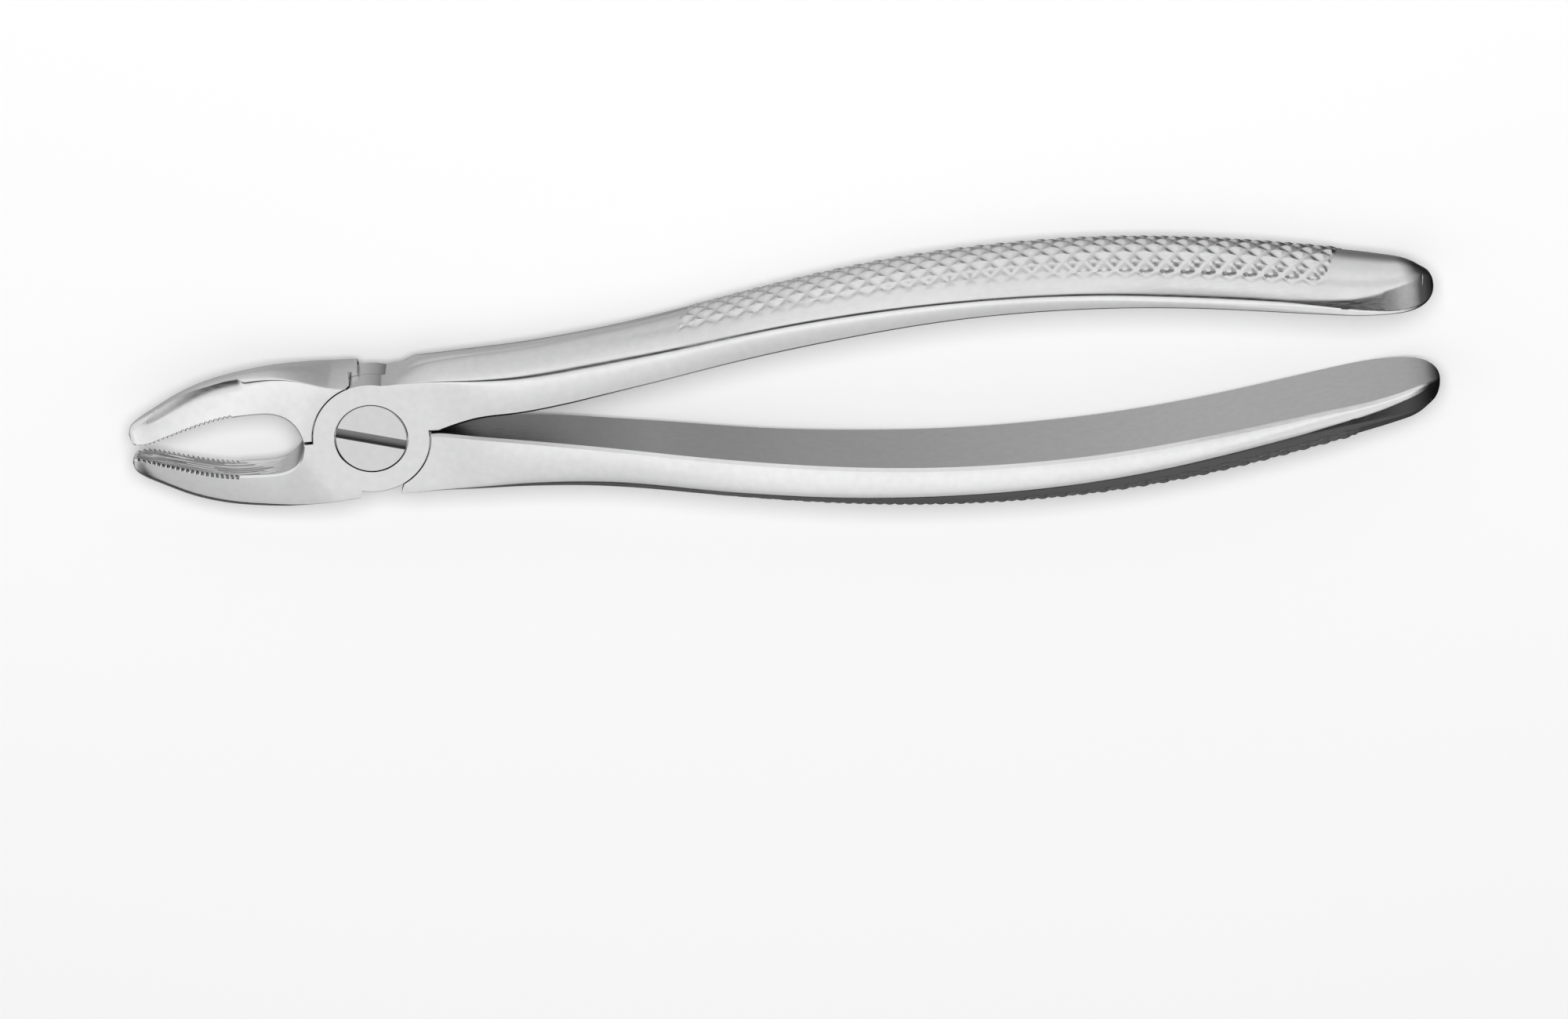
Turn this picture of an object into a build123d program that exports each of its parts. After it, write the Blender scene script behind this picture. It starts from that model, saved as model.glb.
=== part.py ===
from build123d import *
import math
import os

# Extraction forceps: two pivoted halves and the slotted screw that joins them.
# Millimetres. Origin: on the pivot axis, at the rear face of the joint, where the screw's end is
# flush. +X runs towards the handles, the beaks point along -X, and +Z is the pivot axis, on the
# screw head's side. The front half carries the +Y handle and the -Y beak; the rear half is the
# same forging turned half a turn about X, with a threaded hole where the front half has its bore.
# Every shape below is built about the lap plane, where the two halves slide on each other.

# ---- overall sizes ----
handle_length = 142.5          # pivot axis to the handle's end
beak_length = 32.5             # pivot axis to the beak's tip
joint_thickness = 7.6          # both plates of the lap joint together
joint_radius = 7.8             # the round of each plate

# ---- handles ----
handle_bow = 11.15             # furthest that a handle's inner face stands from the midline
grip_width = 14.8              # across the ridges, along the pivot axis
grip_thickness = 7.0           # inner face to the top of the crown
root_rise = 0.5                # of a handle's root, over the round of the joint
flank_draft = 0.5              # how much further out the ridge stands than the inner edge
root_crown = 0.3               # crown of the handle where it leaves the joint

# ---- beaks ----
beak_gap = 4.4                 # midline to the inner face at its deepest
beak_height = 9.45             # midline to the outside at its highest
shoulder_rise = 0.75           # of a beak's root, over the round of the joint
beak_width = 5.4               # across the inner face
beak_back_width = 1.2          # across the narrow back near the tip
beak_root_wall = 1.15          # metal between the beaks' opening and the joint
beak_hollow_width = 3.9        # the gouged channel down the inner face
beak_hollow_depth = 0.55
serration_pitch = 0.66
serration_depth = 0.3
serration_count = 21
serration_margin = 0.6         # from the tip to the first notch

# ---- joint ----
beak_root_angle = 106.0        # where a beak's root ends, from +X
front_handle_root_angle = 60.0
rear_handle_root_angle = 70.0
wall_clearance = 0.15          # round each plate, between the halves
split_clearance = 0.15         # each side of the midline, where the roots face each other
lap_clearance = 0.03           # each side of the lap plane

# ---- pivot screw ----
head_radius = 4.8
head_depth = 1.6
head_ring_gap = 0.12           # round the head, in its counterbore
bearing_radius = 3.2
bearing_clearance = 0.04
thread_radius = 2.5
slot_width = 1.4
slot_depth = 0.9
slot_angle = -16.4             # of the slot, as the screw was tightened
screw_edge = 0.12              # broken edges of the head

# ---- worked out ----
plate = joint_thickness / 2
hub_radius = joint_radius + wall_clearance
root_x = hub_radius + beak_root_wall
root_height = joint_radius + root_rise
beak_shoulder = joint_radius + shoulder_rise
downward = (Align.CENTER, Align.CENTER, Align.MAX)
upward = (Align.CENTER, Align.CENTER, Align.MIN)

# Handle sections: share of the way from root to end, inner face as a share of the bow,
# width as a share of the grip's, thickness as a share of the grip's, crown as a share of that.
handle_sections = [
    (0.056, 0.10, 0.67, 1.15, 0.24),
    (0.120, 0.24, 0.70, 1.04, 0.29),
    (0.214, 0.45, 0.79, 0.98, 0.36),
    (0.307, 0.66, 0.85, 0.99, 0.39),
    (0.405, 0.83, 0.93, 1.00, 0.44),
    (0.494, 0.95, 0.97, 1.02, 0.50),
    (0.592, 1.00, 1.00, 1.01, 0.56),
    (0.682, 0.97, 1.00, 1.00, 0.60),
    (0.779, 0.855, 1.00, 1.00, 0.63),
    (0.873, 0.70, 1.00, 0.95, 0.66),
    (0.936, 0.605, 0.97, 0.81, 0.69),
    (0.978, 0.555, 0.74, 0.64, 0.68),
    (1.000, 0.54, 0.34, 0.34, 0.60),
]

# Beak outline: share of the way from root to tip, then a share of the gap or of the height.
beak_inner_line = [(0.02, 0.45), (0.065, 0.77), (0.14, 0.95), (0.275, 1.0), (0.415, 0.95),
                   (0.615, 0.73), (0.833, 0.365), (0.95, 0.23)]
beak_outer_line = [(0.974, 0.32), (0.838, 0.56), (0.658, 0.79), (0.444, 0.945), (0.231, 1.0),
                   (0.0, 0.965)]
beak_tip_middle = (1.0, 0.2)

# Beak sections: share of the way from root to tip, width of the inner face, width of the back,
# and the back's distance from the midline as a share of the beak's height.
beak_sections = [
    (-0.05, joint_thickness, joint_thickness, 0.99),
    (0.00, joint_thickness * 0.94, joint_thickness * 0.8, 0.99),
    (0.30, beak_width, beak_width * 0.65, 0.99),
    (0.60, beak_width, beak_back_width, 0.84),
    (0.85, beak_width, beak_back_width, 0.54),
    (0.95, beak_width * 0.8, beak_back_width, 0.36),
    (1.001, beak_width * 0.4, beak_back_width * 0.6, 0.3),
]


def across(x):
    """The plane square to X at x: its own x runs along Y, and its own y along Z."""
    return Plane(origin=(x, 0, 0), x_dir=(0, 1, 0), z_dir=(1, 0, 0))


def along_beak(share):
    return -(root_x + (beak_length - root_x) * share)


def handle_section(x, inner, half_width, thickness, crown, draft):
    """A flat inner face, two flanks that lean out to the ridges, and a crown between them."""
    ridge = inner + thickness - crown
    flanks = Polyline((ridge, half_width), (inner, half_width - draft), (inner, draft - half_width),
                      (ridge, -half_width))
    top = ThreePointArc((ridge, -half_width), (inner + thickness, 0), (ridge, half_width))
    return across(x) * make_face([flanks, top])


def handle():
    root_side = root_height - split_clearance
    faces = [handle_section(root_x, split_clearance, plate, root_side, root_crown, 0)]
    for share, bow, width, thickness, crown in handle_sections:
        x = root_x + (handle_length - root_x) * share
        height = grip_thickness * thickness
        faces.append(handle_section(x, handle_bow * bow, grip_width * width / 2, height,
                                    height * crown, flank_draft * min(1, width)))
    grip = loft(faces)
    outline = Polyline((0, split_clearance), (root_x, split_clearance),
                       (root_x, root_height - root_crown), (0, joint_radius), (0, split_clearance))
    root = extrude(make_face(outline), plate, both=True)
    return root + grip


def beak_outline():
    inner = [(along_beak(s), beak_gap * share) for s, share in beak_inner_line]
    outer = [(along_beak(s), beak_height * share) for s, share in beak_outer_line]
    turn = math.radians(beak_root_angle)
    reach = beak_shoulder / math.sin(turn)
    corner = (reach * math.cos(turn), beak_shoulder)
    tip = (along_beak(beak_tip_middle[0]), beak_height * beak_tip_middle[1])
    return make_face([
        Line((0, split_clearance), (-root_x, split_clearance)),
        Spline([(-root_x, split_clearance)] + inner, tangents=[(0, 1), (-1, -0.25)]),
        ThreePointArc(inner[-1], tip, outer[0]),
        Spline(outer + [corner]),
        Line(corner, (0, split_clearance)),
    ])


def beak_envelope():
    """Widths of the beak: as thick as the joint at its root, narrower at its back near the tip."""
    faces = []
    for share, inner_width, back_width, back_height in beak_sections:
        back = beak_height * back_height
        corners = [(0, inner_width / 2), (back / 3, inner_width / 2), (back, back_width / 2),
                   (beak_height, back_width / 2), (beak_height, -back_width / 2),
                   (back, -back_width / 2), (back / 3, -inner_width / 2), (0, -inner_width / 2)]
        faces.append(across(along_beak(share)) * make_face(Polyline(*corners, corners[0])))
    return loft(faces, ruled=True)


def beak():
    solid = extrude(beak_outline(), plate, both=True)
    root_block = Pos(-root_x / 2, 0, 0) * Box(root_x, 4 * root_height, joint_thickness)
    solid = solid & (beak_envelope() + root_block)

    # The toothed stretch of the inner face, from the tip inwards.
    face_line = Spline([(along_beak(s), beak_gap * share) for s, share in reversed(beak_inner_line)])
    toothed = serration_margin + serration_pitch * serration_count
    tip_end = face_line @ 0
    root_end = face_line.position_at(toothed, position_mode=PositionMode.LENGTH)

    # The gouged channel: a rod sunk into the inner face along that stretch.
    rod_radius = (beak_hollow_width ** 2 / 4 + beak_hollow_depth ** 2) / (2 * beak_hollow_depth)
    down_the_face = Plane(origin=root_end, z_dir=tip_end - root_end)
    rod = down_the_face * Cylinder(rod_radius, beak_length, align=upward)
    solid -= Pos(0, beak_hollow_depth - rod_radius, 0) * rod

    notch_side = serration_depth * math.sqrt(2)
    notch = Rot(0, 0, 45) * Box(notch_side, notch_side, 2 * plate)
    for tooth in range(serration_count):
        distance = serration_margin + serration_pitch * tooth
        place = face_line.position_at(distance, position_mode=PositionMode.LENGTH)
        lean = math.degrees(math.atan2(root_end.Y - tip_end.Y, root_end.X - tip_end.X))
        solid -= Pos(*place) * Rot(0, 0, lean) * notch
    return Rot(180, 0, 0) * solid


def sector(start_angle, end_angle, low, high):
    """A wedge about the pivot axis, between two angles and two heights."""
    arc = CenterArc((0, 0), 3 * joint_radius, start_angle, end_angle - start_angle)
    sides = Polyline(arc @ 1, (0, 0), arc @ 0)
    return Pos(0, 0, low) * extrude(make_face([arc, sides]), high - low)


def half(handle_root_angle):
    """The front half: its handle at +Y, its beak at -Y, its plate above the lap plane."""
    disc = Cylinder(joint_radius, plate, align=upward)
    below = plate + lap_clearance
    hub_room = Pos(0, 0, lap_clearance) * Cylinder(hub_radius, below, align=downward)
    behind_beak = sector(handle_root_angle, 180, -plate, lap_clearance)
    return handle() + beak() + disc - hub_room - behind_beak


def pivot_screw():
    head = Pos(0, 0, plate) * Cylinder(head_radius, head_depth, align=downward)
    bearing = Pos(0, 0, plate) * Cylinder(bearing_radius, plate + lap_clearance, align=downward)
    thread = Cylinder(thread_radius, plate, align=downward)
    screw = head + bearing + thread
    screw = chamfer(screw.edges().group_by(Axis.Z)[-1], screw_edge)
    slot = Rot(0, 0, slot_angle) * Box(3 * head_radius, slot_width, slot_depth, align=downward)
    return screw - Pos(0, 0, plate) * slot


def build():
    front = half(front_handle_root_angle)
    seat_depth = head_depth + lap_clearance
    front -= Pos(0, 0, plate) * Cylinder(head_radius + head_ring_gap, seat_depth, align=downward)
    front -= Cylinder(bearing_radius + bearing_clearance, joint_thickness)
    rear = Rot(180, 0, 0) * half(rear_handle_root_angle)
    rear -= Cylinder(thread_radius, 2 * joint_thickness)
    return {"front_half": front, "rear_half": rear, "pivot_screw": pivot_screw()}


os.makedirs("parts", exist_ok=True)
for name, solid in build().items():
    export_step(Pos(0, 0, plate) * solid, os.path.join("parts", name + ".step"))
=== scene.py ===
import bmesh
import bpy
import math
import numpy as np
from mathutils import Matrix, Vector


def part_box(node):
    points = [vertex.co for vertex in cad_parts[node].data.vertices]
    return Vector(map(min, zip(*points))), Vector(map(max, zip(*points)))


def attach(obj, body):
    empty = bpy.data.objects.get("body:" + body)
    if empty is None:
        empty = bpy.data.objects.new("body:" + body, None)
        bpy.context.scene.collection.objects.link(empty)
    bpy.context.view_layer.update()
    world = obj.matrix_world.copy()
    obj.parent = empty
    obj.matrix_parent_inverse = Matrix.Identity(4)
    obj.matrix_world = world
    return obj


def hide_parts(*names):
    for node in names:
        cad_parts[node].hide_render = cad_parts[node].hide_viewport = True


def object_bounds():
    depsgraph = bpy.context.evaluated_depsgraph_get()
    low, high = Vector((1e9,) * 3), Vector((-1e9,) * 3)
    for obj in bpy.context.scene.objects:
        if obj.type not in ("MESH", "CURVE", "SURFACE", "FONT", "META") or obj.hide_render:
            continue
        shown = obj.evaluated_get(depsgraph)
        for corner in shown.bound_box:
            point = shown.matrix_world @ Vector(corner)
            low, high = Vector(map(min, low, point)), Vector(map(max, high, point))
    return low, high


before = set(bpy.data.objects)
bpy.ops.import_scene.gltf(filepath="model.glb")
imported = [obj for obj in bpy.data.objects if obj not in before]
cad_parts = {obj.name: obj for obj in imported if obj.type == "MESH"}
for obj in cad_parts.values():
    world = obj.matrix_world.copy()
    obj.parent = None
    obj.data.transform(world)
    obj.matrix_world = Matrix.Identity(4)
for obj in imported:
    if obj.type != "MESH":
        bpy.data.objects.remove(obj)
cad_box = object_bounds()

# Lengths below are millimetres in the joint's own frame: the pivot axis is Z, the lap plane is
# z = 0, the handles run along +X. Each half is built as the front half and the rear one is turned
# half a turn about X. MM and LAP turn that into metres in the row frame.
MM = 0.001
screw_low, screw_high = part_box("pivot_screw")
PLATE = (screw_high.z - screw_low.z) / MM / 2          # thickness of one plate
LAP = (screw_high.z + screw_low.z) / 2                 # height of the lap plane, metres
HEAD_RADIUS = (screw_high.x - screw_low.x) / MM / 2
_, front_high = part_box("front_half")
HANDLE_END = front_high.x / MM
FAR = 9                   # a height beyond the steel on either side, for the shapes that cut it
AXIS = 0.001              # the radius that stands for the axis in a turned shape

# Joint, as in the CAD model
HUB = 7.8                 # round of a plate
HUB_ROOM = 7.95           # concave wall round the other half's plate
SPLIT = 0.15              # each side of the midline between the roots
LAP_GAP = 0.03
ROOT_X = 9.1              # end of the roots, both ways from the pivot
BEAK_END_ANGLE = 106.0    # direction of the wall where the beak's root ends
SEAT_RADIUS = HEAD_RADIUS + 0.12
SEAT_DEPTH = 1.63
BORE_RADIUS = 3.24
THREAD_RADIUS = 2.5
PLATE_EDGE = 0.09         # legs of the bevel that breaks the plate's edge
SEAT_EDGE = 0.06          # and of the bevel that breaks the edges of the holes

# Knurl: two families of V grooves at 45 degrees, which leave diamond points
KNURL_FROM, KNURL_TO = 43.3, 129.6
KNURL_PITCH = 2.73        # across a diamond's corners
KNURL_DEPTH = 0.37
KNURL_FLATS = 1.22        # over 1, the points end in small flats
KNURL_MARGIN = 2.35       # plain strip between the ridge and the grooves' ends
KNURL_RUN_OUT = 1.2
KNURL_SLANT = 0.3         # lean of the knurl's two ends
KNURL_STEP = 0.3          # how far the plain crown lies below the points
KNURL_REACH = 7.2         # from here on the points of a section no longer follow the diamonds
KNURL_GRID = KNURL_PITCH / 10

# Finish of the handles
FLANK_CROWN = 0.19        # swell of the flanks
DRAFT = 0.5               # how far the flanks lean, less towards the end
INNER_EDGE = 0.38         # legs of the bevel that breaks the inner face's edges

# Teeth on the beaks' inner rims, and the finish of the beaks
TOOTH_PITCH = 0.66
TOOTH_DEPTH = 0.4
TOOTH_COUNT = 21
RIM_EDGE = 0.26           # legs of the bevel that breaks the rims
BEAK_GROUND = 0.8         # width of the flat ground along the back, away from the plate
BEAK_GROUND_TURN = 0.2    # how much steeper that flat is near the tip
SCREW_RING_PITCH = 0.00012    # metres


# ------------------------------------------------------------------ curves

def spline(keys):
    """A natural cubic spline through (x, y) keys, as a function of x."""
    x, y = np.array(keys, float).T
    h = np.diff(x)
    n = len(x)
    a = np.zeros((n, n))
    r = np.zeros(n)
    a[0, 0] = a[-1, -1] = 1
    for i in range(1, n - 1):
        a[i, i - 1:i + 2] = h[i - 1], 2 * (h[i - 1] + h[i]), h[i]
        r[i] = 6 * ((y[i + 1] - y[i]) / h[i] - (y[i] - y[i - 1]) / h[i - 1])
    m = np.linalg.solve(a, r)

    def at(q):
        q = np.clip(q, x[0], x[-1])
        i = np.clip(np.searchsorted(x, q) - 1, 0, n - 2)
        low, high, step = q - x[i], x[i + 1] - q, h[i]
        return ((m[i] * high ** 3 + m[i + 1] * low ** 3) / (6 * step)
                + (y[i] / step - m[i] * step / 6) * high
                + (y[i + 1] / step - m[i + 1] * step / 6) * low)
    return at


def smooth(edge0, edge1, x):
    """0 up to edge0, 1 from edge1 on, with a smooth rise between them."""
    t = np.clip((x - edge0) / (edge1 - edge0), 0, 1)
    return t * t * (3 - 2 * t)


# ------------------------------------------------------------------ meshes

def ring_mesh(name, rings):
    """A closed mesh through rings of equally many points, capped at both ends."""
    rings = np.asarray(rings)
    count, size, _ = rings.shape
    faces = []
    for i in range(count - 1):
        a, b = i * size, (i + 1) * size
        for j in range(size):
            k = (j + 1) % size
            faces.append((a + j, a + k, b + k, b + j))
    faces.append(tuple(range(size))[::-1])
    faces.append(tuple(range((count - 1) * size, count * size)))
    mesh = bpy.data.meshes.new(name)
    mesh.from_pydata(rings.reshape(-1, 3).tolist(), [], faces)
    bm = bmesh.new()
    bm.from_mesh(mesh)
    bmesh.ops.recalc_face_normals(bm, faces=bm.faces)
    bm.to_mesh(mesh)
    bm.free()
    obj = bpy.data.objects.new(name, mesh)
    bpy.context.scene.collection.objects.link(obj)
    return obj


def turned(name, profile, steps=128):
    """A solid turned about Z from (radius, z) points, given from the axis and back to the axis."""
    angles = np.linspace(0, 2 * math.pi, steps, endpoint=False)
    rings = [[(r * math.cos(a), r * math.sin(a), z) for a in angles] for r, z in profile]
    return ring_mesh(name, rings)


def prism(name, outline, low, high):
    """A solid of the outline's points in X and Y, from one height to another."""
    return ring_mesh(name, [[(x, y, z) for x, y in outline] for z in (low, high)])


def combine(target, other, operation):
    """Joins the other mesh to the target or cuts it out of it, and removes it."""
    cut = target.modifiers.new("cut", "BOOLEAN")
    cut.operation = operation
    cut.solver = "MANIFOLD"
    cut.object = other
    bpy.context.view_layer.update()
    result = bpy.data.meshes.new_from_object(
        target.evaluated_get(bpy.context.evaluated_depsgraph_get()))
    target.modifiers.clear()
    target.data = result
    bpy.data.objects.remove(other)


def bend(start, control, end, steps=4):
    """Points on the curve that leaves start and reaches end along the lines to the control point."""
    t = np.linspace(0, 1, steps)[:, None]
    start, control, end = np.array(start), np.array(control), np.array(end)
    return list((1 - t) ** 2 * start + 2 * t * (1 - t) * control + t ** 2 * end)


def towards(start, end, distance):
    """The point at a distance from start on the way to end."""
    start, end = np.array(start), np.array(end)
    return start + (end - start) / np.linalg.norm(end - start) * distance


def corner(before, at, after, leg, steps=4):
    """The rounded corner of a section, which starts and ends at a leg's length from the point."""
    return bend(towards(at, before, leg), at, towards(at, after, leg), steps)


def between(a, b, count):
    """Evenly spaced points between a and b, without the two."""
    t = np.linspace(0, 1, count + 2)[1:-1, None]
    return list(np.array(a) * (1 - t) + np.array(b) * t)


def flank(edge, inner, ridge, crown, swell, inner_leg, rounded_leg):
    """A side from the inner face over its bevelled edge and a slight swell to the rounded ridge."""
    inner, ridge = np.array(inner), np.array(ridge)
    length = np.linalg.norm(ridge - inner)
    t = np.linspace(inner_leg / length, 1 - rounded_leg / length, 8)[:, None]
    lift = np.array([[0, np.sign(inner[1]) * swell]])
    side = inner * (1 - t) + ridge * t + lift * 4 * t * (1 - t)
    return [edge] + list(side[:-1]) + bend(side[-1], ridge, crown, 8)


# ------------------------------------------------------------------ handle

# Distances from the midline: of the inner face, the ridges and the top of the crown
inner_line = spline([(9.1, 0.15), (16.5, 1.15), (25, 2.64), (37.5, 5.0), (50, 7.35), (63, 9.27),
                     (75, 10.45), (88, 10.85), (100, 10.4), (113, 9.05), (125.5, 7.25),
                     (134, 6.1), (142.6, 5.1)])
ridge_line = spline([(0, 7.62), (9, 7.5), (20, 7.45), (33, 8.85), (46, 10.95), (60, 12.8),
                     (75, 13.8), (88, 13.85), (100, 13.05), (113, 11.25), (125.5, 9.1),
                     (134, 7.6), (142.6, 6.7)])
crest_line = spline([(0, 7.64), (4.2, 7.7), (6.8, 8.45), (10, 8.95), (20, 9.5), (33, 11.15),
                     (46, 13.45), (60, 15.95), (75, 17.7), (88, 18.2), (100, 17.87), (113, 16.5),
                     (125.5, 14.35), (134, 12.6), (142.6, 10.7)])
half_width = spline([(8, 3.8), (10, 3.97), (13, 4.4), (20, 4.95), (30, 5.25), (40, 5.9), (50, 6.35),
                     (63, 6.9), (75, 7.2), (88, 7.4), (110, 7.4), (142.6, 7.4)])
# How much further from the midline the inner face's edge lies on the plate's side
root_relief = spline([(9.1, 0), (11.5, 0.5), (14.6, 0.9), (19, 0.55), (24, 0.15), (28, 0)])
# How much higher the ridge runs on the side away from the plate
far_rise = spline([(0, 0.73), (9, 0.85), (17, 0.75), (23, 0.65), (29, 0.38), (35, 0.1), (40, 0)])
# Legs of the rounding of the ridges
ridge_leg = spline([(0, 0.1), (9, 0.2), (18, 0.8), (45, 0.85), (60, 0.75), (75, 0.6), (105, 0.55),
                    (120, 0.55), (142.6, 0.4)])
FAR_RISE_TO = 40              # where the two ridges run level again
FAR_RISE_SPAN = 2.6           # the length over which the difference begins
CROWN_POINTS = 34             # on each side of the crest
WIDTH_ROUND_FROM = 130.0      # where the end starts to round off as seen from above the crown
THICKNESS_ROUND_FROM = 137.6  # and as seen from the side

# The flat that is ground along each ridge towards the end: how far down the flank it reaches, and
# how fast it takes the width away
GROUND_FROM = 112.0
ground_depth = spline([(112, -0.2), (118, 0), (124, 0.08), (130, 0.2), (134, 0.42), (138.6, 0.95),
                       (142.6, 1.3)])
GROUND_SLOPE = 0.6

# The stretches of x over which these grow or fade
SHIFTS_GROW, SHIFTS_FADE = (25, 48), (105, 130)       # what sets the two handles apart
INNER_SHIFT_GROWS = 50, 90                            # the same on the inner face
DRAFT_GROWS, DRAFT_FADES = (25, 60), (110, 135)
DRAFT_LOST = 0.6                                      # the share of it that fades
SWELL_GROWS = 9, 22                                   # the flanks' swell
STEP_GROWS = 25, 39                                   # the step down from the knurl's points


def rounding(x, start, power):
    """A share that falls from 1 at start to almost nothing at the handle's end."""
    far = np.clip((x - start) / (HANDLE_END - start), 0, 1)
    return max(1 - far ** power, 0.0003) ** (1 / power)


def handle_stations():
    """Where the sections lie: one for each step of the knurl's grid, and close together at the end."""
    reach = 7 * KNURL_SLANT
    root = np.arange(0, ROOT_X - 0.3, 0.55)
    fine = np.arange(KNURL_FROM - reach, KNURL_TO + reach, KNURL_GRID)
    neck = np.arange(ROOT_X + 0.15, fine[0] - 0.3, 0.7)
    beyond = fine[-1] + np.array([0.4, 0.8, 1.5, 2.3, 3.2])
    last = fine[-1] + 4
    nearing = (1 - np.sin(np.linspace(0, math.pi / 2, 40))) ** 1.1
    end = HANDLE_END - (HANDLE_END - last) * nearing
    return np.concatenate([root, [ROOT_X - 0.02], neck, fine, beyond, end])


def ground_limits(y, half, ground_from):
    """The lowest and highest z that the flats ground along both ridges leave at y."""
    limit = max(half - GROUND_SLOPE * max(y - ground_from, 0), 0)
    return -limit, limit


def knurl_lift(x, t, margin):
    """Heights along the crown of the section at x, from the level of the knurl's points: its grooves,
    and the plain crown before and after it. t is the distance round the crown from its top."""
    slanted = x + KNURL_SLANT * t
    starting = smooth(KNURL_FROM - 0.2, KNURL_FROM, slanted)
    knurled = starting * (1 - smooth(KNURL_TO, KNURL_TO + 0.2, slanted))
    plain = smooth(*STEP_GROWS, x) * (1 - smooth(margin - 2, margin, np.abs(t)))
    lift = -KNURL_STEP * (1 - knurled) * plain
    if np.any(knurled > 0):
        u = np.abs(((x - KNURL_FROM + t) / KNURL_PITCH + 0.5) % 1 - 0.5) * 2
        v = np.abs(((x - KNURL_FROM - t) / KNURL_PITCH + 0.5) % 1 - 0.5) * 2
        point = np.minimum(np.minimum(u, v) * KNURL_FLATS, 1)
        run_out = np.clip((np.abs(t) - (margin - KNURL_RUN_OUT)) / KNURL_RUN_OUT, 0, 2)
        lift = lift - knurled * np.maximum(KNURL_DEPTH * (1 - point) - KNURL_DEPTH * run_out, 0)
    return lift


def handle_ring(x, far_rise_from, ridge_shift, crest_shift, inner_shift, end_middle):
    """The section at x: flat inner face, leaning flanks, crisp ridges and a knurled crown."""
    wide = rounding(x, WIDTH_ROUND_FROM, 2.1)
    thick = rounding(x, THICKNESS_ROUND_FROM, 2.2)
    a = float(half_width(x)) * wide
    if x < ROOT_X:
        y_in, relief = SPLIT, 0
    else:
        y_in = float(inner_line(x)) + inner_shift * float(smooth(*INNER_SHIFT_GROWS, x))
        relief = float(root_relief(x))
    shifted = float(smooth(*SHIFTS_GROW, x) * (1 - smooth(*SHIFTS_FADE, x)))
    ridge = float(ridge_line(x)) + ridge_shift * shifted
    crest = float(crest_line(x)) + crest_shift * shifted
    if x > THICKNESS_ROUND_FROM:
        y_in, ridge, crest = (end_middle + (v - end_middle) * thick for v in (y_in, ridge, crest))
    leaning = smooth(*DRAFT_GROWS, x) - DRAFT_LOST * smooth(*DRAFT_FADES, x)
    draft = DRAFT * float(leaning) * wide
    lean = 0.0
    if x < FAR_RISE_TO:
        rise = smooth(far_rise_from, far_rise_from + FAR_RISE_SPAN, x)
        lean = float(far_rise(x)) * float(rise)

    # The crown is a parabola, and its points are spaced by the distance round it
    crown = max(crest - ridge, 0.02)
    half = np.linspace(0, a, 80)
    steps = np.hypot(np.diff(half), np.diff(crown * (half / a) ** 2))
    round_the_crown = np.concatenate([[0], np.cumsum(steps)])
    length = round_the_crown[-1]
    small = min(1.0, wide, thick)
    leg = float(ridge_leg(x)) * small
    last = length - min(leg, 0.45 * length)
    knurl_reach = min(KNURL_REACH, length - 2.0)
    grid = KNURL_GRID * np.arange(1, CROWN_POINTS + 1)
    if knurl_reach > 3:
        beyond = (grid - knurl_reach) / (grid[-1] - knurl_reach)
        grid = np.where(grid <= knurl_reach, grid, knurl_reach + (last - knurl_reach) * beyond)
    else:
        grid = last * grid / grid[-1]
    t = np.concatenate([grid[::-1], [0], -grid])
    lift = knurl_lift(x, t, length - KNURL_MARGIN)
    z = np.sign(t) * np.interp(np.abs(t), round_the_crown, half)
    tilt = np.arctan(2 * crown * z / a ** 2)
    y = crest - crown * (z / a) ** 2 + lift * np.cos(tilt) + lean * np.clip(-z / a, 0, 1)
    top = list(np.column_stack([y, z + lift * np.sin(tilt)]))

    near, far = (ridge, a), (ridge + lean, -a)
    inner_near, inner_far = (y_in + relief, a - draft), (y_in, draft - a)
    edge = INNER_EDGE * small
    near_edge = towards(inner_near, inner_far, edge)
    far_edge = towards(inner_far, inner_near, edge)
    swell = FLANK_CROWN * float(smooth(*SWELL_GROWS, x)) * small
    leg = min(leg, 0.65 * (ridge - y_in - relief))
    ring = (flank(near_edge, inner_near, near, top[0], swell, edge, leg)
            + top[1:-1]
            + flank(far_edge, inner_far, far, top[-1], swell, edge, leg)[::-1]
            + between(inner_far, inner_near, 5))
    if x > GROUND_FROM:
        ground_from = ridge - float(ground_depth(x)) * small
        ring = [(p[0], np.clip(p[1], *ground_limits(p[0], a, ground_from))) for p in ring]
    return [(x, p[0], p[1]) for p in ring]


# ------------------------------------------------------------------ beak

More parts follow.
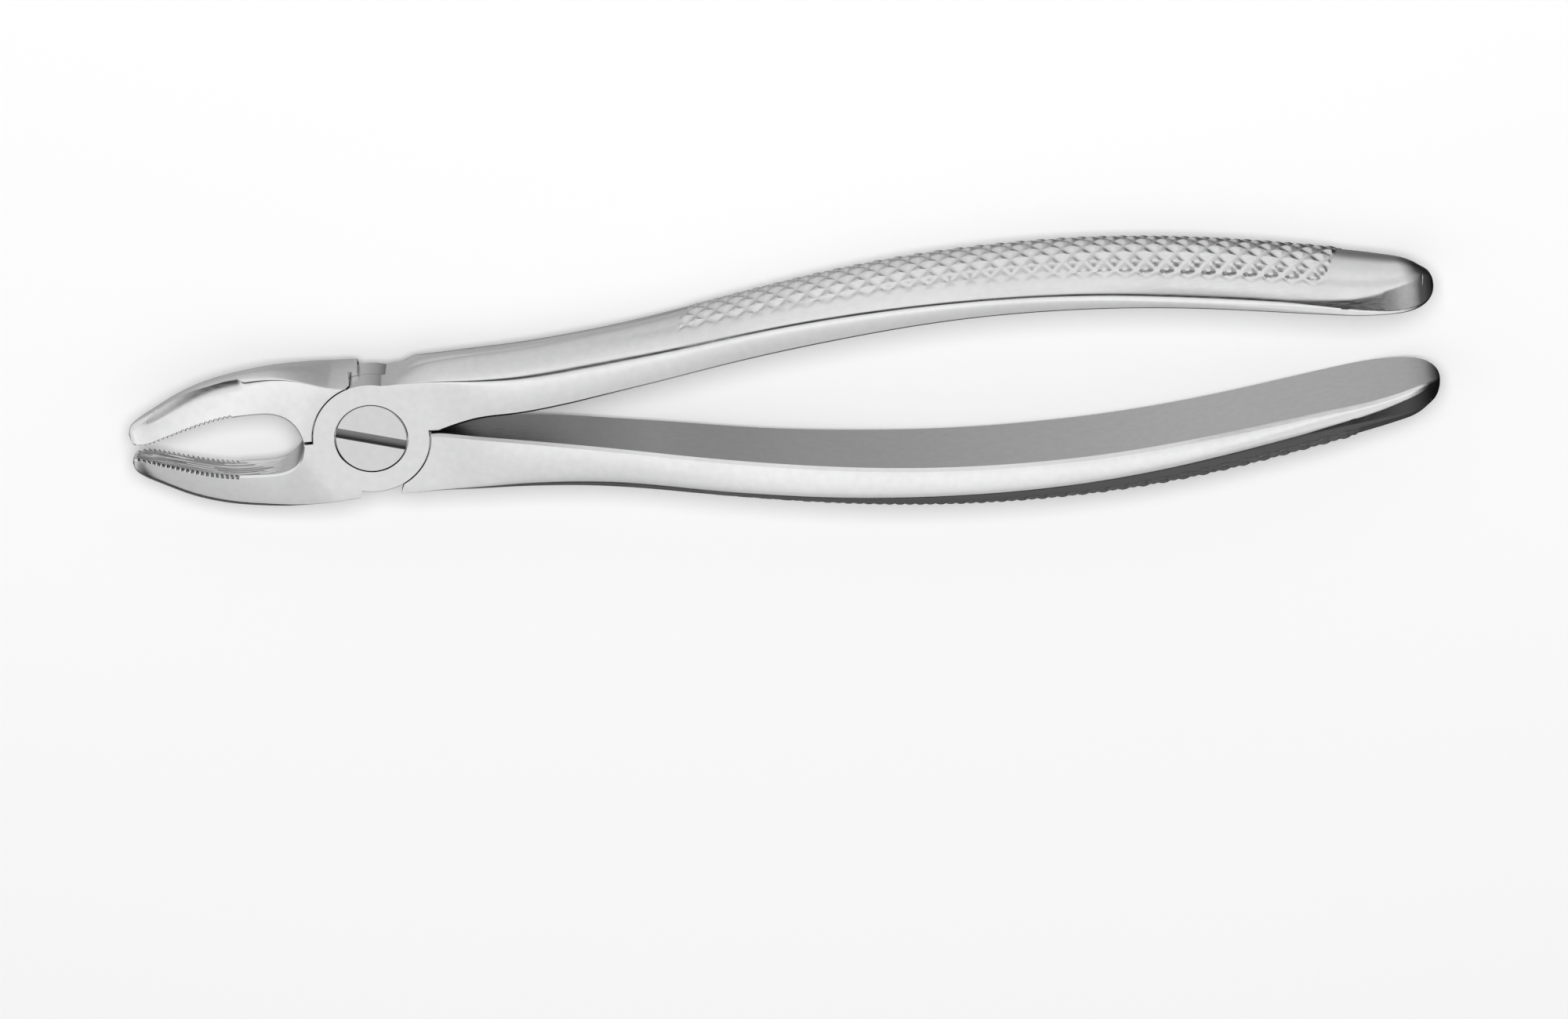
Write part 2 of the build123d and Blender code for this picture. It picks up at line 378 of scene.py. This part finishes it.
# From the tip to the root: inner point (x, y), outer ridge (x, y), drop of the ridge away from the
# plate, half widths of the inner face and of the back, bulge of the flanks, depth of the hollow.
# Here y is the distance from the midline.
BEAK_KEYS = [
    (-32.40, 1.62, -32.5, 2.0, 0, 0.35, 0.22, 0.0, 0.0),
    (-32.2, 1.25, -32.35, 2.7, 0, 1.05, 0.50, 0.02, 0.05),
    (-31.4, 1.03, -31.75, 3.5, 0, 1.85, 0.75, 0.04, 0.35),
    (-28.6, 1.6, -29.4, 4.95, 0, 2.55, 1.05, 0.06, 0.55),
    (-23.5, 3.2, -24.5, 7.45, 0, 2.70, 1.25, 0.08, 0.55),
    (-18.8, 4.2, -19.2, 8.95, 0, 2.72, 1.55, 0.1, 0.5),
    (-15.5, 4.4, -15.4, 9.4, 0, 2.80, 1.95, 0.1, 0.32),
    (-12.4, 4.2, -11.8, 9.4, 0, 3.10, 2.55, 0.08, 0.1),
    (-10.6, 3.3, -8.9, 9.1, 0.1, 3.52, 3.20, 0.04, 0.0),
    (-9.6, 1.9, -6.5, 8.85, 0.45, 3.76, 3.68, 0.0, 0.0),
    (-9.1, 0.15, -4.6, 8.68, 0.85, 3.80, 3.80, 0.0, 0.0),
]
END_RIDGE = 8.55              # distance of the last section's ridge from the midline
END_DROP = 1.3                # and its drop away from the plate
PAST_THE_TEETH = 1e6
TEETH_LEAD = 0.25             # how far before the third key the teeth begin

# The stretches of the outer ridge's x over which these grow, fade or change
BACK_EDGE_FADES = -16, -8
BEAK_GROUND_GROWS, BEAK_GROUND_FADES = (-33, -27), (-16.8, -16.0)
BEAK_GROUND_TURNS = -30, -19


def beak_tables():
    """The distances along the inner face at the keys, and each column as a function of distance."""
    keys = np.array(BEAK_KEYS)
    steps = np.hypot(*np.diff(keys[:, :2], axis=0).T)
    along = np.concatenate([[0], np.cumsum(steps)])
    route = [spline(np.column_stack([along, column])) for column in keys.T[:5]]
    settled = np.append(along, along[-1] + 3)             # so that the widths end level
    section = [spline(np.column_stack([settled, np.append(column, column[-1])]))
               for column in keys.T[5:]]
    return along, route + section


def scores(z, along):
    """Marks of the tool that gouged the inner face, nearly along the beak."""
    coarse = 0.035 * math.sin(z * 9.0 + 0.4 * math.sin(along * 0.5))
    return coarse + 0.025 * math.sin(z * 21.0 + along * 0.07)


def beak_ring(values, along, tooth_from):
    """The section at a distance along the beak: gouged inner face with notched rims, and a flat
    ground along the back. A point is (distance out from the inner face, z)."""
    ix, iy, ox, oy, drop, b_in, b_out, bulge, hollow = values
    inner, outer = np.array([ix, iy]), np.array([ox, oy])
    length = np.linalg.norm(outer - inner)
    out = (outer - inner) / length
    crest = 0.12 + 0.05 * b_out

    teeth = along - tooth_from
    notch = 0.0
    if 0 <= teeth <= TOOTH_PITCH * TOOTH_COUNT:
        notch = TOOTH_DEPTH * (1 - abs((teeth / TOOTH_PITCH) % 1 * 2 - 1))

    share = np.linspace(0.1, 0.76, 10)
    near = [(f * length, b_in + (b_out - b_in) * f + bulge * 4 * f * (1 - f)) for f in share]
    far_length = length - drop
    away = [(f * far_length, -(b_in + (b_out - b_in) * f + bulge * 4 * f * (1 - f)))
            for f in share[::-1]]
    back = []
    for s in np.linspace(0.28, -0.28, 7):
        height = length - drop * (1 - s) / 2 + crest * (1 - s * s)
        back.append((height, b_out * s))
    face = []
    rim_edge = min(RIM_EDGE, 0.09 * length, 0.3 * b_in)
    for s in np.linspace(-1, 1, 41)[1:-1]:
        z = (b_in - rim_edge) * s
        gouged = hollow * (1 - 0.35 * s * s) + scores(z, along) * min(hollow * 4, 1)
        rim = smooth(0, 0.9, b_in - abs(z) - 0.35)
        grooved = notch * (1 - smooth(0.35, 1.1, b_in - abs(z)))
        face.append((max(gouged * rim, grooved), z))
    edge = min(0.9, b_out * 0.7, length * 0.22) * (1 - 0.85 * smooth(*BACK_EDGE_FADES, ox))
    ground = BEAK_GROUND * smooth(*BEAK_GROUND_GROWS, ox) * (1 - smooth(*BEAK_GROUND_FADES, ox))
    low_near, low_far = (notch, b_in), (notch, -b_in)
    top_near, top_far = (length, b_out), (far_length, -b_out)
    ring = (corner(face[-1], low_near, near[0], rim_edge, 2) + near
            + corner(near[-1], top_near, back[0], edge, 7) + back
            + corner(back[-1], top_far, away[0], edge * (1 - 0.8 * ground), 7) + away
            + corner(away[-1], low_far, face[0], rim_edge, 2) + face)
    if ground > 0:
        ground_from = far_length - ground
        low = -b_in + (b_in - b_out) / length * ground_from
        slope = GROUND_SLOPE + BEAK_GROUND_TURN * (1 - smooth(*BEAK_GROUND_TURNS, ox))
        ring = [(r, max(z, low + slope * (r - ground_from)) if r > ground_from else z)
                for r, z in ring]
    return [(inner[0] + out[0] * r, -(inner[1] + out[1] * r), z) for r, z in ring]


def make_beak(end_angle):
    """A beak from its tip, through its root and on to the midline under the plate."""
    along, curves = beak_tables()
    tooth_from = along[2] - TEETH_LEAD
    tooth_to = tooth_from + TOOTH_PITCH * TOOTH_COUNT
    places = np.concatenate([
        np.linspace(0, tooth_from, 14)[:-1],
        np.linspace(tooth_from, tooth_to, TOOTH_COUNT * 8 + 1),
        np.linspace(tooth_to, along[-1], 48)[1:]])
    rings = [beak_ring([float(c(s)) for c in curves], s, tooth_from) for s in places]
    turn = math.radians(end_angle)
    last = np.array(BEAK_KEYS[-1])
    end = last.copy()
    end[:2] = 0, SPLIT
    end[2:4] = END_RIDGE / math.tan(turn), END_RIDGE
    end[4] = END_DROP
    for share in np.linspace(0, 1, 12)[1:]:
        rings.append(beak_ring(last + (end - last) * share, PAST_THE_TEETH, 0))
    return ring_mesh("beak", rings)


# ------------------------------------------------------------------ halves

def make_half(name, far_rise_from, finish, lip, beak_end_angle, holes):
    """One forging: handle at +Y, beak at -Y, and its plate above the lap plane. Hand finishing
    leaves the two halves a little unlike: finish shifts the ridges, the crest and the inner face of
    the grip and says where its end closes. lip is the line behind the lap plane at which the
    handle's root starts, and beak_end_angle the direction in which the beak's root ends."""
    stations = [float(x) for x in handle_stations()]
    body = ring_mesh(name, [handle_ring(x, far_rise_from, *finish) for x in stations])
    combine(body, make_beak(beak_end_angle), "UNION")
    plate = [(AXIS, LAP_GAP), (HUB, LAP_GAP), (HUB, PLATE - PLATE_EDGE), (HUB - PLATE_EDGE, PLATE),
             (AXIS, PLATE)]
    combine(body, turned("plate", plate), "UNION")
    mouth = HUB_ROOM + 4 * PLATE_EDGE
    room = [(AXIS, -FAR), (mouth, -FAR), (mouth, -PLATE - 3 * PLATE_EDGE),
            (HUB_ROOM, -PLATE + PLATE_EDGE), (HUB_ROOM, LAP_GAP), (AXIS, LAP_GAP)]
    combine(body, turned("hub_room", room), "DIFFERENCE")
    outline = [(0, 0), (HUB_ROOM * 0.9, 0.02), lip[1], lip[0], (lip[0][0] - 0.4, 12), (-12, 12),
               (-12, 0.02)]
    combine(body, prism("behind", outline, -FAR, LAP_GAP), "DIFFERENCE")
    turn = math.radians(BEAK_END_ANGLE)
    outline = [(0, -0.3), (12 * math.cos(turn), -12 * math.sin(turn)), (4, -12), (4, -0.3)]
    combine(body, prism("beak_end", outline, -FAR, LAP_GAP), "DIFFERENCE")
    combine(body, turned("holes", holes), "DIFFERENCE")
    return body


def mouth_of(radius):
    """The end of a hole's profile: its bevelled edge at the plate's face, and on past the steel."""
    wide = radius + 2 * SEAT_EDGE
    return [(radius, PLATE - SEAT_EDGE), (wide, PLATE + SEAT_EDGE), (wide, FAR), (AXIS, FAR)]


seat = [(AXIS, -FAR), (BORE_RADIUS, -FAR), (BORE_RADIUS, PLATE - SEAT_DEPTH),
        (SEAT_RADIUS, PLATE - SEAT_DEPTH)] + mouth_of(SEAT_RADIUS)
threaded = [(AXIS, -FAR), (THREAD_RADIUS, -FAR)] + mouth_of(THREAD_RADIUS)

front = make_half("front_half_steel", far_rise_from=4.1, finish=(-0.35, 0.0, 0.25, 7.4),
                  lip=((2.3, 9), (2.3, 7.2)), beak_end_angle=BEAK_END_ANGLE, holes=seat)
rear = make_half("rear_half_steel", far_rise_from=-3.0, finish=(0.3, 0.25, -0.25, 6.3),
                 lip=((2.9, 8.7), (3.7, 6.9)), beak_end_angle=98.0, holes=threaded)

CRISP = math.radians(26)      # edges sharper than this are shaded as edges


def finish_half(obj, node, body, turn):
    """Metres in the row frame, smooth shading with crisp edges, and its place in the assembly."""
    mesh = obj.data
    co = np.empty(len(mesh.vertices) * 3)
    mesh.vertices.foreach_get("co", co)
    co = co.reshape(-1, 3) * MM
    if turn:
        co *= (1, -1, -1)
    co[:, 2] += LAP
    mesh.vertices.foreach_set("co", co.ravel())
    mesh.update()
    for polygon in mesh.polygons:
        polygon.use_smooth = True
    mesh.set_sharp_from_angle(angle=CRISP)
    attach(obj, body)
    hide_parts(node)


finish_half(front, "front_half", "front", turn=False)
finish_half(rear, "rear_half", "rear", turn=True)


# ------------------------------------------------------------------ nodes

def node(tree, kind, inputs=None, **settings):
    """A shader node with its settings and its inputs, each input a value or another node's output."""
    made = tree.nodes.new(kind)
    for key, value in settings.items():
        setattr(made, key, value)
    for key, value in (inputs or {}).items():
        if isinstance(value, bpy.types.NodeSocket):
            tree.links.new(value, made.inputs[key])
        else:
            made.inputs[key].default_value = value
    return made


def ramp(tree, value, stops):
    """Grey levels by position, as (position, grey) stops."""
    made = node(tree, "ShaderNodeValToRGB", {"Fac": value})
    elements = made.color_ramp.elements
    while len(elements) < len(stops):
        elements.new(0.5)
    for element, (place, grey) in zip(elements, stops):
        element.position = place
        element.color = (grey, grey, grey, 1)
    return made.outputs["Color"]


def mapped(tree, value, low, high, to_low, to_high):
    """The value with the range low to high brought to to_low to to_high, and held beyond it."""
    made = node(tree, "ShaderNodeMapRange", {"Value": value, "From Min": low, "From Max": high,
                                             "To Min": to_low, "To Max": to_high})
    return made.outputs["Result"]


def noise(tree, place, scale, detail):
    made = node(tree, "ShaderNodeTexNoise", {"Vector": place, "Scale": scale, "Detail": detail})
    return made.outputs["Fac"]


def math_node(tree, operation, a, b=0.0):
    return node(tree, "ShaderNodeMath", {0: a, 1: b}, operation=operation).outputs[0]


# ------------------------------------------------------------------ materials

# Scales of the patterns, per metre
GRAIN = 7000.0
SMUDGES = 70.0
MOTTLING = 900.0
SCRATCHES = 130, 2600, 2600
SCRATCH_TURN = 0.3, 0.1, 0.35         # radians off the handles' direction

# Where a half is dull, in metres. Along the handles the inner faces are fully dull, and darkened as
# painted shade, up to the first of the two lengths and bright again from the second.
FADE = 0.001                          # the fading at an edge of a dull area
INNER_DULL_AND_SHADE_WITHIN = 0.0055            # of the midline
INNER_DULL_AND_SHADE_TO = 0.017, 0.038
KNURL_DULL_FROM = (KNURL_FROM - 0.3) * MM
KNURL_DULL_TO = (KNURL_TO + 0.4) * MM
KNURL_DULL_WIDTH = 0.006, 0.0003      # half of its width, and half of its fading


def steel(name, tint, roughness, hairlines, marks):
    """Stainless steel: hairlines of finishing in the direction that the scale hairlines leaves long,
    a fine grain, faint smudges and mottling, and what the function marks adds to the height and the
    roughness, and how much painted shade it darkens the base colour by."""
    material = bpy.data.materials.new(name)
    material.use_nodes = True
    tree = material.node_tree
    shader = tree.nodes["Principled BSDF"]
    shader.inputs["Metallic"].default_value = 1.0
    place = node(tree, "ShaderNodeTexCoord").outputs["Object"]
    stretched = node(tree, "ShaderNodeMapping", {"Vector": place, "Scale": hairlines})
    lines = noise(tree, stretched.outputs["Vector"], 1.0, 3.0)
    grain = noise(tree, place, GRAIN, 2.0)
    smudge = noise(tree, place, SMUDGES, 4.0)
    mottle = noise(tree, place, MOTTLING, 3.0)
    height, rough, painted_shade = marks(tree, place)

    height = math_node(tree, "ADD", height, lines)
    height = math_node(tree, "ADD", height, math_node(tree, "MULTIPLY", grain, 0.5))
    bump = node(tree, "ShaderNodeBump", {"Height": height, "Strength": 0.35, "Distance": 3e-6})
    tree.links.new(bump.outputs["Normal"], shader.inputs["Normal"])

    lined = mapped(tree, lines, 0.3, 0.7, roughness - 0.03, roughness + 0.04)
    rough = math_node(tree, "ADD", rough, lined)
    rough = math_node(tree, "ADD", rough, mapped(tree, smudge, 0.35, 0.7, -0.02, 0.05))
    tree.links.new(rough, shader.inputs["Roughness"])

    mottled = mapped(tree, mottle, 0.3, 0.7, 0.97, 1.02)
    smudged = mapped(tree, smudge, 0.3, 0.7, 0.015, -0.02)
    shade = math_node(tree, "ADD", mottled, smudged)
    # painted shade: the base colour is darkened where the marks function paints shade
    shade = math_node(tree, "MULTIPLY", shade, math_node(tree, "SUBTRACT", 1.0, painted_shade))
    colour = node(tree, "ShaderNodeVectorMath", {0: tint, "Scale": shade}, operation="SCALE")
    tree.links.new(colour.outputs["Vector"], shader.inputs["Base Color"])
    return material


def forging_marks(tree, place):
    """Rare longer scratches, inner faces dull at their roots, out of the wheel's reach, and there
    darkened as painted shade, and a knurl that is cut after polishing, so that it is duller than the
    rest."""
    bent = node(tree, "ShaderNodeMapping", {"Vector": place, "Scale": SCRATCHES,
                                            "Rotation": SCRATCH_TURN})
    scratch = mapped(tree, noise(tree, bent.outputs["Vector"], 1.0, 1.0), 0.70, 0.74, 0.0, 1.0)
    axes = node(tree, "ShaderNodeSeparateXYZ", {0: place}).outputs
    facing = node(tree, "ShaderNodeTexCoord").outputs["Normal"]
    normal = node(tree, "ShaderNodeSeparateXYZ", {0: facing}).outputs
    # painted shade: the inner faces near the root, between the handles, get a darker base colour that
    # stands in for the shade there; they are also rougher
    sideways = mapped(tree, math_node(tree, "ABSOLUTE", normal["Y"]), 0.6, 0.9, 0.0, 1.0)
    inner = math_node(tree, "ABSOLUTE", axes["Y"])
    inner = mapped(tree, inner, INNER_DULL_AND_SHADE_WITHIN - FADE, INNER_DULL_AND_SHADE_WITHIN, 1.0, 0.0)
    dull_and_painted_shade = mapped(tree, axes["X"], *INNER_DULL_AND_SHADE_TO, 1.0, 0.0)
    dull_and_painted_shade = math_node(tree, "MULTIPLY", dull_and_painted_shade, mapped(tree, axes["X"], 0.0, 2 * FADE, 0.0, 1.0))
    dull_and_painted_shade = math_node(tree, "MULTIPLY", math_node(tree, "MULTIPLY", sideways, inner), dull_and_painted_shade)
    outward = math_node(tree, "MULTIPLY", axes["Y"], normal["Y"])
    from_crest = math_node(tree, "ABSOLUTE", math_node(tree, "SUBTRACT", axes["Z"], LAP))
    knurl = mapped(tree, outward, 0.002, 0.004, 0.0, 1.0)
    width, fade = KNURL_DULL_WIDTH
    middle = mapped(tree, from_crest, width - fade, width + fade, 1.0, 0.0)
    knurl = math_node(tree, "MULTIPLY", knurl, middle)
    begun = mapped(tree, axes["X"], KNURL_DULL_FROM - FADE, KNURL_DULL_FROM + FADE, 0.0, 1.0)
    knurl = math_node(tree, "MULTIPLY", knurl, begun)
    unfinished = mapped(tree, axes["X"], KNURL_DULL_TO - FADE, KNURL_DULL_TO + FADE, 1.0, 0.0)
    knurl = math_node(tree, "MULTIPLY", knurl, unfinished)
    rough = math_node(tree, "MULTIPLY", scratch, 0.05)
    rough = math_node(tree, "ADD", rough, math_node(tree, "MULTIPLY", dull_and_painted_shade, 0.1))
    rough = math_node(tree, "ADD", rough, math_node(tree, "MULTIPLY", knurl, 0.1))
    # the third output darkens the base colour of the inner faces near the root: painted shade
    return math_node(tree, "MULTIPLY", scratch, -0.8), rough, math_node(tree, "MULTIPLY", dull_and_painted_shade, 0.7)


def screw_marks(tree, place):
    """Rings of the facing tool on the head, and a slot left dull and darkened as painted shade."""
    axes = node(tree, "ShaderNodeSeparateXYZ", {0: place}).outputs
    flat = node(tree, "ShaderNodeCombineXYZ", {"X": axes["X"], "Y": axes["Y"]}).outputs[0]
    radius = node(tree, "ShaderNodeVectorMath", {0: flat}, operation="LENGTH").outputs["Value"]
    turns = math_node(tree, "MULTIPLY", radius, 2 * math.pi / SCREW_RING_PITCH)
    rings = math_node(tree, "SINE", turns)
    # painted shade: the base colour darkens down into the slot; the slot is also rougher
    dark_to, bright_from = screw_high.z - 0.00035, screw_high.z - 0.0001
    slot_dull_and_shade = mapped(tree, axes["Z"], dark_to, bright_from, 1.0, 0.0)
    return (math_node(tree, "MULTIPLY", rings, 0.2), math_node(tree, "MULTIPLY", slot_dull_and_shade, 0.2),
            math_node(tree, "MULTIPLY", slot_dull_and_shade, 0.62))


forged = steel("forged_steel", tint=(0.655, 0.655, 0.66), roughness=0.15,
               hairlines=(60, 4200, 4200), marks=forging_marks)
for obj in (front, rear):
    obj.data.materials.clear()
    obj.data.materials.append(forged)
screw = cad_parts["pivot_screw"]
turned_steel = steel("screw_steel", tint=(0.60, 0.60, 0.605), roughness=0.27,
                     hairlines=(2500, 2500, 2500), marks=screw_marks)
screw.data.materials.clear()
screw.data.materials.append(turned_steel)


# ------------------------------------------------------------------ floor, lights and camera

def make_floor():
    height = cad_box[0].z
    mesh = bpy.data.meshes.new("floor")
    size = 3.0
    corners = [(-size, -size, height), (size, -size, height), (size, size, height),
               (-size, size, height)]
    mesh.from_pydata(corners, [], [(0, 1, 2, 3)])
    floor = bpy.data.objects.new("floor", mesh)
    bpy.context.scene.collection.objects.link(floor)
    floor.visible_glossy = False
    material = bpy.data.materials.new("floor")
    material.use_nodes = True
    shader = material.node_tree.nodes["Principled BSDF"]
    shader.inputs["Base Color"].default_value = (0.93, 0.93, 0.93, 1)
    shader.inputs["Roughness"].default_value = 0.6
    floor.data.materials.append(material)


ROLL = math.radians(5.5)      # the midline climbs this much across the picture
TILT = math.radians(25.0)     # the camera leans this far from the pivot axis
right = Vector((math.cos(ROLL), -math.sin(ROLL), 0))
across = Vector((math.sin(ROLL), math.cos(ROLL), 0))
up = across * math.cos(TILT) - Vector((0, 0, 1)) * math.sin(TILT)
back = across * math.sin(TILT) + Vector((0, 0, 1)) * math.cos(TILT)

MIDDLE = 0.055                # from the pivot to the middle of the forceps
FRAME_WIDTH = 0.209           # what the picture takes in at the joint
BELOW = 0.0094                # how far the picture's middle lies below the midline there
CAMERA_DISTANCE = 1.2
SENSOR_WIDTH = 36


def make_camera():
    pivot = Vector((0, 0, screw_high.z))
    aim = pivot + right * MIDDLE - up * BELOW
    data = bpy.data.cameras.new("camera")
    data.sensor_width = SENSOR_WIDTH
    data.lens = SENSOR_WIDTH * CAMERA_DISTANCE / FRAME_WIDTH
    camera = bpy.data.objects.new("camera", data)
    camera.location = aim + back * CAMERA_DISTANCE
    camera.rotation_euler = Matrix((right, up, back)).transposed().to_euler()
    bpy.context.scene.collection.objects.link(camera)
    bpy.context.scene.camera = camera


def area_light(name, toward, distance, size, radiance, glossy):
    """A soft box that faces the middle of the forceps from the direction given."""
    toward = Vector(toward).normalized()
    data = bpy.data.lights.new(name, "AREA")
    data.shape = "RECTANGLE"
    data.size, data.size_y = size
    data.energy = radiance * math.pi * size[0] * size[1]
    light = bpy.data.objects.new(name, data)
    light.location = Vector((MIDDLE, 0, 0)) + toward * distance
    light.rotation_euler = toward.to_track_quat("Z", "X").to_euler()
    light.visible_camera = False
    light.visible_glossy = glossy
    bpy.context.scene.collection.objects.link(light)


# What the tent round the object shows the steel, as (angle, radiance). The angle is in degrees
# round the handles' direction: 0 at the upper handle's side, 90 at the top, 180 at the lower
# handle's side.
TENT = [(-180, 0.04), (-172, 0.14), (-125, 0.1), (-108, 0.12), (-93, 0.42), (-80, 0.52),
        (-66, 0.5), (-52, 0.68), (-30, 0.85), (-5, 0.95), (8, 1.1), (38, 1.2), (48, 0.03),
        (60, 0.03), (66, 1.05), (90, 1.35), (103, 1.27), (115, 1.07), (128, 0.9), (145, 0.8),
        (167, 0.7), (171, 0.02)]
TENT_PEAK = 1.4               # the radiance that white stands for in the ramp
TENT_FILL = 0.5               # the tent's strength for diffuse light, such as the floor's
KEY_RADIANCE = 17.0


def make_tent():
    """The surroundings that the steel mirrors. They are darker beyond the handles' ends and below
    the handles' side, and bright beyond the beaks."""
    world = bpy.data.worlds.new("tent")
    world.use_nodes = True
    tree = world.node_tree
    direction = node(tree, "ShaderNodeTexCoord").outputs["Generated"]
    along = node(tree, "ShaderNodeVectorMath", {0: direction, 1: right}, operation="DOT_PRODUCT")
    along = along.outputs["Value"]
    side = node(tree, "ShaderNodeVectorMath", {0: direction, 1: across}, operation="DOT_PRODUCT")
    height = node(tree, "ShaderNodeSeparateXYZ", {0: direction}).outputs["Z"]
    turn = math_node(tree, "ARCTAN2", height, side.outputs["Value"])
    around = mapped(tree, turn, -math.pi, math.pi, 0, 1)
    stops = [((angle + 180) / 360, value / TENT_PEAK) for angle, value in TENT]
    shade = ramp(tree, around, stops)
    lowered = math_node(tree, "SUBTRACT", along, math_node(tree, "MULTIPLY", height, 0.5))
    far_end = mapped(tree, lowered, 0.5, 0.85, 1.0, 0.1)
    near_end = mapped(tree, along, -0.8, -0.45, 0.75, 0.0)
    falling = mapped(tree, height, -0.75, -0.4, 1.0, 0.0)
    dimmed = mapped(tree, along, -0.15, 0.2, -0.1, 0.55)
    dimmed = math_node(tree, "MULTIPLY", falling, dimmed)
    strength = math_node(tree, "MULTIPLY", far_end, TENT_PEAK)
    strength = math_node(tree, "MULTIPLY", strength, math_node(tree, "SUBTRACT", 1.0, dimmed))
    near_end = node(tree, "ShaderNodeCombineXYZ", {"X": near_end, "Y": near_end, "Z": near_end})
    shade = node(tree, "ShaderNodeVectorMath", {0: shade, 1: near_end.outputs[0]},
                 operation="MAXIMUM").outputs[0]
    path = node(tree, "ShaderNodeLightPath")
    lit = node(tree, "ShaderNodeMix", {"Factor": path.outputs["Is Diffuse Ray"], "A": strength,
                                       "B": TENT_FILL})
    background = tree.nodes["Background"]
    tree.links.new(shade, background.inputs["Color"])
    tree.links.new(lit.outputs["Result"], background.inputs["Strength"])
    bpy.context.scene.world = world


def make_lights():
    make_tent()
    area_light("key", back, distance=1.3, size=(0.5, 0.5), radiance=KEY_RADIANCE, glossy=False)
    bpy.context.scene.view_settings.view_transform = "Standard"


make_floor()
make_camera()
make_lights()
